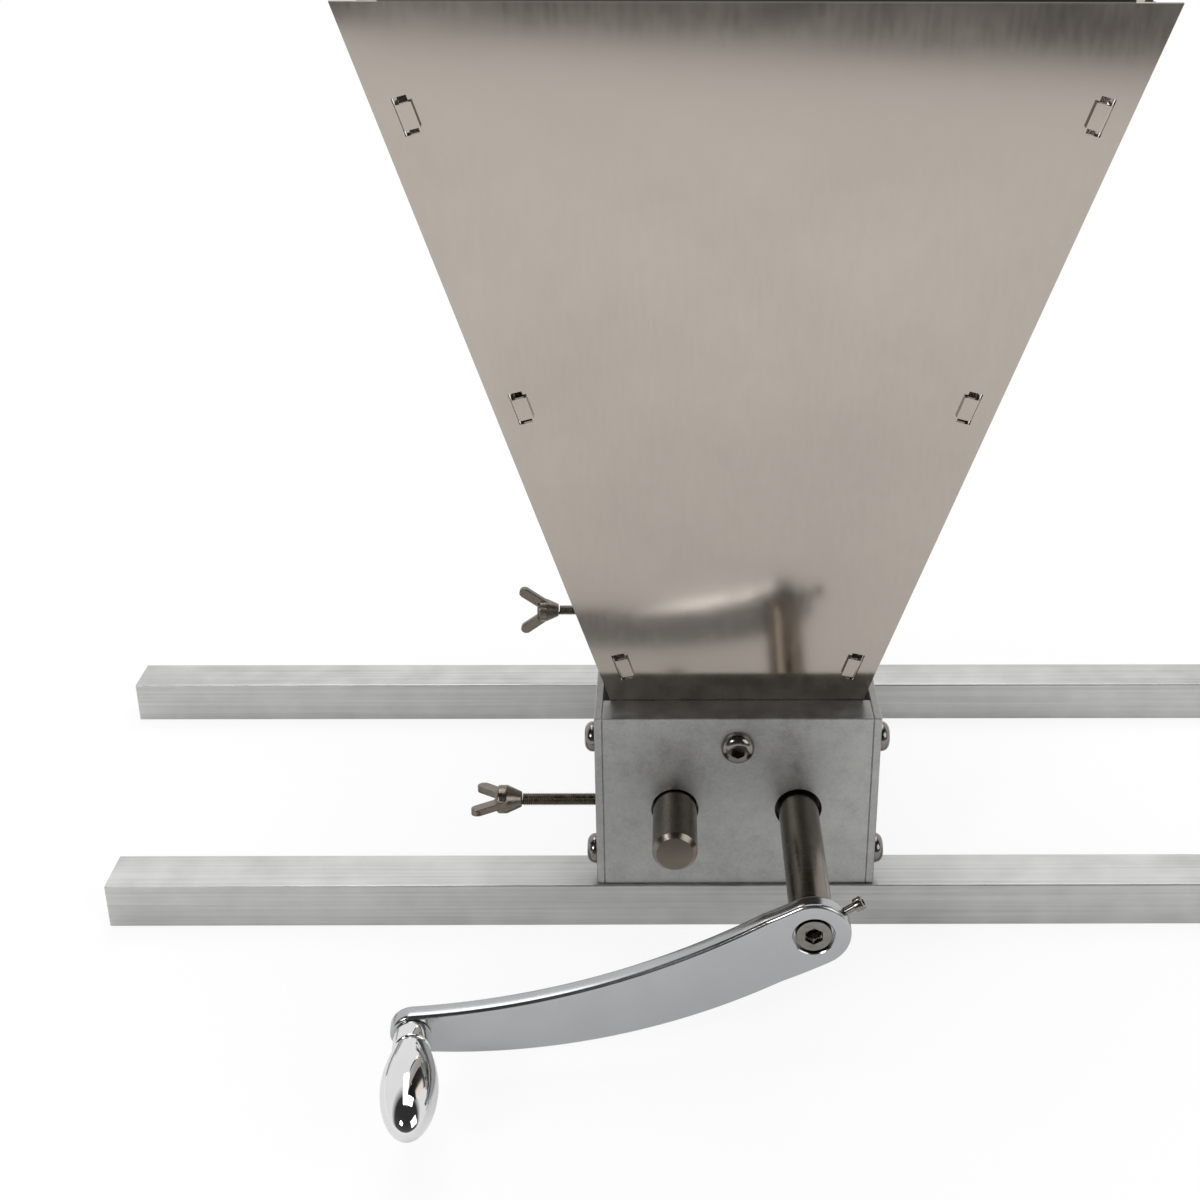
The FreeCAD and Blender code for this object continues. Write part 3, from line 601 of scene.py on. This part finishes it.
def flat_arm():
    """The arm's outline as a flat bar, cut across where it bends and along its bow."""
    reach = arm_bend_at + (crank_radius - arm_bend_at) / math.cos(arm_lean)
    draw(arm_outline(reach))
    merge_seam()
    bpy.ops.mesh.edge_face_add()
    bpy.ops.mesh.extrude_region_move(TRANSFORM_OT_translate={"value": (0, arm_t * MM, 0)})
    bpy.ops.mesh.select_all(action="SELECT")
    bpy.ops.mesh.normals_make_consistent(inside=False)
    for x in (arm_bend_at,) + arm_sections:
        bpy.ops.mesh.select_all(action="SELECT")
        bpy.ops.mesh.bisect(plane_co=(x * MM, 0, 0), plane_no=(1, 0, 0))
    bpy.ops.mesh.select_all(action="DESELECT")
    bpy.ops.object.mode_set(mode="OBJECT")
    return bpy.context.object


def forged_arm():
    """Bowed arm with rolled edges that leans out beyond its hub, with its three holes."""
    arm = flat_arm()
    for vertex in arm.data.vertices:
        vertex.select = vertex.co.x > (arm_bend_at + just_past) * MM
    bpy.ops.object.mode_set(mode="EDIT")
    bpy.ops.transform.rotate(
        value=arm_lean, orient_axis="Z", center_override=(arm_bend_at * MM, 0, 0))
    bpy.ops.mesh.select_mode(type="EDGE")
    bpy.ops.mesh.select_all(action="DESELECT")
    bpy.ops.mesh.edges_select_sharp(sharpness=arm_sharp_corner)
    bpy.ops.mesh.bevel(offset=arm_rolled_edge * MM, segments=arm_rolled_steps, affect="EDGES")
    bpy.ops.mesh.select_mode(type="VERT")
    close_skin()
    move_to(arm, crank_place)
    mouth = counterbore_r + counterbore_chamfer + past
    bore = [(0, -past), (mouth, -past), (counterbore_r, counterbore_chamfer)]
    bore += [(counterbore_r, counterbore_depth), (spigot_hole_r, counterbore_depth)]
    bore += [(spigot_hole_r, arm_t + past), (0, arm_t + past)]
    spindle_hole = pin(spindle_hole_r, -2 * past, arm_t + 2 * past)
    tapped = pin(set_screw_r + set_screw_clear, 0, set_screw_hole)
    for outline, faces, place in ((bore, wide_faces, at(hub_at)),
                                  (spindle_hole, thin_faces, grip_place),
                                  (tapped, hole_faces, set_screw_place)):
        cutter = turned(outline, faces)
        move_to(cutter, place)
        work(arm, cutter, "DIFFERENCE")
    fit(arm, "forged_arm", "crank_arm", Matrix.Identity(4), 30)


def socket_bolt():
    """Low socket bolt that holds the arm on the shaft."""
    h = bolt_head_h
    r = bolt_head_r
    outline = [(0, -h), (r - bolt_head_round, -h)]
    outline += [(r - bolt_head_round_mid, bolt_head_round_mid - h), (r, bolt_head_round - h)]
    outline += [(r, -bolt_head_under_edge), (r - bolt_head_under_edge, 0), (bolt_r, 0)]
    outline += [(bolt_r, bolt_length - bolt_tip_chamfer)]
    outline += [(bolt_r - bolt_tip_chamfer, bolt_length), (0, bolt_length)]
    bolt = turned(outline, wide_faces)
    work(bolt, hex_bar(bolt_socket, -h - past, -bolt_socket_web), "DIFFERENCE")
    drilled = [(0, -h - past), (bolt_drill_r, -h - past), (bolt_drill_r, bolt_drill_depth)]
    drilled += [(0, bolt_drill_depth + bolt_drill_point)]
    work(bolt, turned(drilled, thin_faces), "DIFFERENCE")
    fit(bolt, "arm_bolt", "crank_bolt", at(hub_at + Vector((0, counterbore_depth, 0))))


def pinch_screw():
    """Small screw through the hub, with a rounded socket head."""
    start = set_screw_from
    end = set_screw_to
    neck = end - set_screw_head_h
    r = set_screw_head_r
    edge = set_screw_head_edge
    outline = [(0, start), (set_screw_r - set_screw_tip, start)]
    outline += [(set_screw_r, start + set_screw_tip), (set_screw_r, neck)]
    outline += [(r - edge, neck), (r, neck + edge), (r, end - set_screw_head_round)]
    outline += [(r - edge, end - edge), (r - set_screw_head_round, end), (0, end)]
    screw = turned(outline, pinch_faces)
    socket = hex_bar(set_screw_socket, end - set_screw_socket_depth, end + past)
    work(screw, socket, "DIFFERENCE")
    fit(screw, "hub_pinch_screw", "crank_set_screw", set_screw_place)


def chrome_grip():
    """Turned grip: collar, groove and bulb with a domed end, bored for its spindle."""
    face = grip_from
    r = grip_collar_r
    outline = [(grip_bore_r, -grip_floor), (grip_bore_r, -face - grip_bore_chamfer)]
    outline += [(grip_bore_r + grip_bore_chamfer, -face), (r - grip_collar_round, -face)]
    outline += [(r - grip_collar_round_mid, -face - grip_collar_round_mid)]
    outline += [(r, -face - grip_collar_round)]
    edge = grip_collar_r - grip_groove_r
    for a in quarter(8):
        along = edge - grip_collar_end - edge * math.sin(a)
        outline.append((grip_groove_r + edge * math.cos(a), along))
    start = grip_collar_end + grip_groove_w
    outline += [(grip_groove_r, grip_groove_edge - start)]
    outline += [(grip_groove_r + grip_groove_edge, -start), (grip_neck_r - grip_neck_edge, -start)]
    neck = start + grip_groove_edge
    for i in range(25):
        t = i / 24
        swell = (grip_bulb_r - grip_neck_r) * math.sin(math.pi / 2 * t)
        outline.append((grip_neck_r + swell, -neck - (grip_bulb_at - neck) * t))
    reach = grip_length - grip_bulb_at
    for a in quarter(24)[1:-1]:
        outline.append((grip_bulb_r * math.cos(a), -grip_bulb_at - reach * math.sin(a)))
    outline += [(0, -grip_length), (0, -grip_floor), (grip_bore_r, -grip_floor)]
    fit(turned(outline, grip_faces), "chrome_grip", "grip", grip_place)


def riveted_spindle():
    """Pin inside the grip, riveted over behind the arm."""
    outline = [(0, -spindle_end), (spindle_r - spindle_chamfer, -spindle_end)]
    outline += [(spindle_r, spindle_chamfer - spindle_end), (spindle_r, arm_t), (rivet_r, arm_t)]
    for a in quarter(8)[1:-1]:
        outline.append((rivet_r * math.cos(a), arm_t + rivet_h * math.sin(a)))
    outline.append((0, arm_t + rivet_h))
    fit(turned(outline, thin_faces), "riveted_spindle", "grip_spindle", grip_place)


def threaded_rod(length):
    """A coarse machine thread along +Y, closed at both ends."""
    p = wing_pitch
    root = wing_root_r
    crest = wing_crest_r - wing_crest_clear
    draw([(root, 0, 0), (crest, thread_crest_from * p, 0), (crest, thread_crest_to * p, 0),
          (root, thread_root_from * p, 0), (root, p, 0)])
    bpy.ops.object.mode_set(mode="OBJECT")
    rod = bpy.context.object
    change = rod.modifiers.new("thread", "SCREW")
    change.axis = "Y"
    change.screw_offset = p * MM
    change.iterations = int(length / p)
    change.steps = change.render_steps = thread_faces
    apply_change(rod, change)
    bpy.ops.object.mode_set(mode="EDIT")
    merge_seam()
    bpy.ops.mesh.fill_holes(sides=0)
    return close_skin()


def wing_ear(side):
    """One ear: a round pad drawn out into a tongue towards the hub."""
    root = Vector((0, wing_crown + wing_band / 2 - wing_hub_len, wing_tip_r - wing_ear_r / 3))
    end = Vector((0, wing_ear_r - wing_hub_len - wing_beyond_hub, wing_half_span - wing_ear_r))
    reach = (end - root).length
    bpy.ops.object.select_all(action="DESELECT")
    bpy.ops.mesh.primitive_cylinder_add(
        vertices=ear_faces, radius=wing_ear_r * MM, depth=wing_ear_t * MM,
        rotation=(0, math.pi / 2, 0))
    bpy.ops.object.transform_apply(location=True, rotation=True, scale=True)
    ear = bpy.context.object
    bpy.ops.object.mode_set(mode="EDIT")
    bpy.ops.mesh.select_all(action="DESELECT")
    bpy.ops.object.mode_set(mode="OBJECT")
    for vertex in ear.data.vertices:
        vertex.select = vertex.co.y > just_past * MM
    bpy.ops.object.mode_set(mode="EDIT")
    bpy.ops.transform.translate(value=(0, reach * MM, 0))
    bpy.ops.object.mode_set(mode="OBJECT")
    tilt = math.atan2(end.z - root.z, root.y - end.y)
    move_to(ear, at((0, end.y, side * end.z)) @ Matrix.Rotation(-side * tilt, 4, "X"))
    return ear


def wing_head():
    """Head of a cast wing screw along +Y: cone hub with two ears blended into it."""
    back = -wing_hub_len
    outline = [(0, back), (wing_tip_r, back), (wing_hub_r, back + wing_crown)]
    outline += [(wing_hub_r, back + wing_crown + wing_band), (wing_foot_r, 0), (0, 0)]
    head = turned(outline, head_faces)
    for side in (1, -1):
        work(head, wing_ear(side), "UNION")
    cast = head.modifiers.new("blend", "REMESH")
    cast.mode = "VOXEL"
    cast.voxel_size = wing_voxel * MM
    apply_change(head, cast)
    soft = head.modifiers.new("soft", "SMOOTH")
    soft.factor = wing_smooth_share
    soft.iterations = wing_smooth_rounds
    apply_change(head, soft)
    return head


def button_screw(sizes):
    """Domed screw along +Y with a hexagon socket, its head on the XZ plane."""
    head, height, shank, length = (sizes[key] for key in ("head", "height", "shank", "length"))
    outline = [(0, -height), (head * button_flat, -height)]
    for a in quarter(8)[1:]:
        r = head * (button_flat + (1 - button_flat) * math.sin(a))
        outline.append((r, -height * (button_rim + (1 - button_rim) * math.cos(a))))
    outline += [(head, -button_edge), (head - button_edge, 0), (shank, 0)]
    outline += [(shank, length - button_tip), (shank - button_tip, length), (0, length)]
    screw = turned(outline, head_faces)
    socket = hex_bar(sizes["socket"], -height - past, height * button_socket_past_head)
    return work(screw, socket, "DIFFERENCE")


def hex_nut():
    """Hexagon nut along +Y with turned-off corners."""
    nut = hex_bar(nut_across, 0, nut_t)
    corner = nut_across / math.sqrt(3)
    flat = nut_across * nut_flat
    drop = (corner - flat) * math.tan(nut_corner_slope)
    blank = [(0, 0), (flat, 0), (corner, drop)]
    blank += [(corner, nut_t - drop), (flat, nut_t), (0, nut_t)]
    work(nut, turned(blank, wide_faces), "INTERSECT")
    mouth = nut_bore_r + nut_bore_chamfer + past
    bore = [(0, -past), (mouth, -past), (nut_bore_r, nut_bore_chamfer)]
    bore += [(nut_bore_r, nut_t - nut_bore_chamfer), (mouth, nut_t + past), (0, nut_t + past)]
    return work(nut, turned(bore, thin_faces), "DIFFERENCE")


def lock_screws():
    """Both wing screws, at their own reach and turn, with the shank in the side plate."""
    head = wing_head()
    for end, turn in (("front", front_wing_turn), ("back", back_wing_turn)):
        node = end + "_wing_screw"
        middle = Vector(joints[end + "_lock"]["pos_m"]) / MM
        low, high = corners(node)
        hub_x = low.x + wing_beyond_hub + wing_hub_len
        rod = threaded_rod(high.x - hub_x - wing_pitch)
        wing = twin(head)
        bpy.ops.object.select_all(action="DESELECT")
        rod.select_set(True)
        wing.select_set(True)
        bpy.context.view_layer.objects.active = wing
        bpy.ops.object.join()
        place = at((hub_x, middle.y, middle.z)) @ Matrix.Rotation(-math.pi / 2, 4, "Z")
        place = place @ Matrix.Rotation(math.radians(turn), 4, "Y")
        fit(wing, end + "_lock_wing", node, place, 40)
    bpy.data.objects.remove(head)


def side_screws():
    """The eight screws through the side plates."""
    pattern = button_screw(side_screw)
    for side, turn in (("left", -90), ("right", 90)):
        spin = Matrix.Rotation(math.radians(turn), 4, "Z")
        for end in ("front", "back"):
            for level in ("lower", "upper"):
                stem = side + "_" + end + "_" + level
                node = stem + "_screw"
                low, high = corners(node)
                spot = (low + high) / 2
                h = side_screw["height"]
                spot.x = low.x + h if side == "left" else high.x - h
                fit(twin(pattern), stem + "_button", node, at(spot) @ spin)
    bpy.data.objects.remove(pattern)


def hopper_screws():
    """The two screws at the hopper's foot, with their nuts."""
    pattern = button_screw(hopper_screw)
    nut = hex_nut()
    for end, turn in (("front", 0), ("back", 180)):
        spin = Matrix.Rotation(math.radians(turn), 4, "Z")
        node = "hopper_" + end + "_screw"
        low, high = corners(node)
        spot = (low + high) / 2
        h = hopper_screw["height"]
        spot.y = low.y + h if end == "front" else high.y - h
        fit(twin(pattern), "hopper_" + end + "_button", node, at(spot) @ spin)
        node = "hopper_" + end + "_nut"
        low, high = corners(node)
        spot = (low + high) / 2
        spot.y = low.y if end == "front" else high.y
        fit(twin(nut), "hopper_" + end + "_hex_nut", node, at(spot) @ spin, 25)
    bpy.data.objects.remove(pattern)
    bpy.data.objects.remove(nut)


def studio_camera():
    """A camera where the photograph was taken from."""
    lens = bpy.data.cameras.new("camera")
    lens.lens = camera_lens
    lens.sensor_width = camera_sensor
    lens.shift_x, lens.shift_y = camera_shift
    lens.clip_start = camera_nearest
    eye = bpy.data.objects.new("camera", lens)
    bpy.context.scene.collection.objects.link(eye)
    look = Matrix.Rotation(math.radians(-camera_yaw), 4, "Z")
    look = look @ Matrix.Rotation(math.radians(90 - camera_pitch), 4, "X")
    look = look @ Matrix.Rotation(math.radians(camera_roll), 4, "Z")
    eye.matrix_world = at(camera_place) @ look
    bpy.context.scene.camera = eye


def studio_floor():
    """White paper with the mill's soft shadow, which fades to plain white away from the mill."""
    bpy.ops.object.select_all(action="DESELECT")
    bpy.ops.mesh.primitive_plane_add(
        size=paper_size, location=paper_middle, rotation=(0, 0, paper_turn))
    floor = bpy.context.object
    floor.name = "floor"
    bpy.ops.object.transform_apply(location=True, rotation=True, scale=True)
    finish = bpy.data.materials.new("white_paper")
    finish.use_nodes = True
    tree = finish.node_tree
    tree.nodes.clear()
    path = add(tree, "ShaderNodeLightPath")
    shine = add(tree, "ShaderNodeMath", {"operation": "MULTIPLY"},
                i0=path.outputs["Is Glossy Ray"], i1=paper_in_mirrors)
    seen = add(tree, "ShaderNodeMath", {"operation": "MAXIMUM"},
               i0=path.outputs["Is Camera Ray"], i1=path.outputs["Is Transmission Ray"])
    place = add(tree, "ShaderNodeTexCoord").outputs["Object"]
    away = add(tree, "ShaderNodeVectorMath", {"operation": "LENGTH"}, i0=place).outputs["Value"]
    white = add(tree, "ShaderNodeMapRange", Value=away, From_Min=paper_near, From_Max=paper_far,
                To_Min=paper_near_white, To_Max=paper_far_white)
    plain = add(tree, "ShaderNodeMath", {"operation": "MULTIPLY"},
                i0=seen.outputs[0], i1=white.outputs[0])
    share = add(tree, "ShaderNodeMath", {"operation": "MAXIMUM"},
                i0=plain.outputs[0], i1=shine.outputs[0])
    lit = add(tree, "ShaderNodeBsdfDiffuse", Color=linear("F0F0F0"))
    glow = add(tree, "ShaderNodeEmission", Color=(1, 1, 1, 1), Strength=1.0)
    mixed = add(tree, "ShaderNodeMixShader",
                i0=share.outputs[0], i1=lit.outputs[0], i2=glow.outputs[0])
    add(tree, "ShaderNodeOutputMaterial", Surface=mixed.outputs[0])
    floor.data.materials.append(finish)


def studio_room():
    """A white room that mirrors see dark in front of the mill, with a paler low wall there."""
    world = bpy.data.worlds.new("studio")
    bpy.context.scene.world = world
    world.use_nodes = True
    tree = world.node_tree
    tree.nodes.clear()
    path = add(tree, "ShaderNodeLightPath")
    way = add(tree, "ShaderNodeTexCoord").outputs["Generated"]
    towards = add(tree, "ShaderNodeVectorMath", {"operation": "DOT_PRODUCT"}, i0=way, i1=dark_side)
    height = add(tree, "ShaderNodeSeparateXYZ", Vector=way).outputs["Z"]
    level = add(tree, "ShaderNodeMapRange", Value=height, From_Min=-1.0, From_Max=1.0)
    dim = add(tree, "ShaderNodeValToRGB", Fac=level.outputs[0])
    marks = dim.color_ramp.elements
    for mark, (stop, tone) in zip(marks, (front_tones[0], front_tones[-1])):
        mark.position = stop
        mark.color = (tone, tone, tone, 1)
    for stop, tone in front_tones[1:-1]:
        marks.new(stop).color = (tone, tone, tone, 1)
    front = add(tree, "ShaderNodeMapRange", Value=towards.outputs["Value"],
                From_Min=dark_from, From_Max=dark_full, To_Min=1.0, To_Max=dim.outputs["Color"])
    seen = add(tree, "ShaderNodeMath", {"operation": "MAXIMUM"},
               i0=path.outputs["Is Camera Ray"], i1=path.outputs["Is Transmission Ray"])
    shown = add(tree, "ShaderNodeMath", {"operation": "MAXIMUM"},
                i0=seen.outputs[0], i1=front.outputs[0])
    soft = add(tree, "ShaderNodeMix", {"data_type": "FLOAT"},
               Factor=path.outputs["Is Diffuse Ray"], i2=shown.outputs[0], i3=room_fill)
    glow = add(tree, "ShaderNodeBackground", Color=(1, 1, 1, 1), Strength=soft.outputs[0])
    add(tree, "ShaderNodeOutputWorld", Surface=glow.outputs[0])


def studio_lamps():
    """Two soft boxes in front of the mill and a large one overhead."""
    for name, place, size, power in lamps:
        lamp = bpy.data.lights.new(name, "AREA")
        lamp.energy = power
        lamp.size = size
        holder = bpy.data.objects.new(name, lamp)
        aim = (Vector(lamps_aim_at) - Vector(place)).to_track_quat("-Z", "Y").to_matrix().to_4x4()
        holder.matrix_world = Matrix.Translation(place) @ aim
        holder.visible_camera = False
        bpy.context.scene.collection.objects.link(holder)


forged_arm()
socket_bolt()
pinch_screw()
chrome_grip()
riveted_spindle()
lock_screws()
side_screws()
hopper_screws()

studio_camera()
studio_floor()
studio_room()
studio_lamps()
bpy.context.scene.view_settings.view_transform = "Standard"
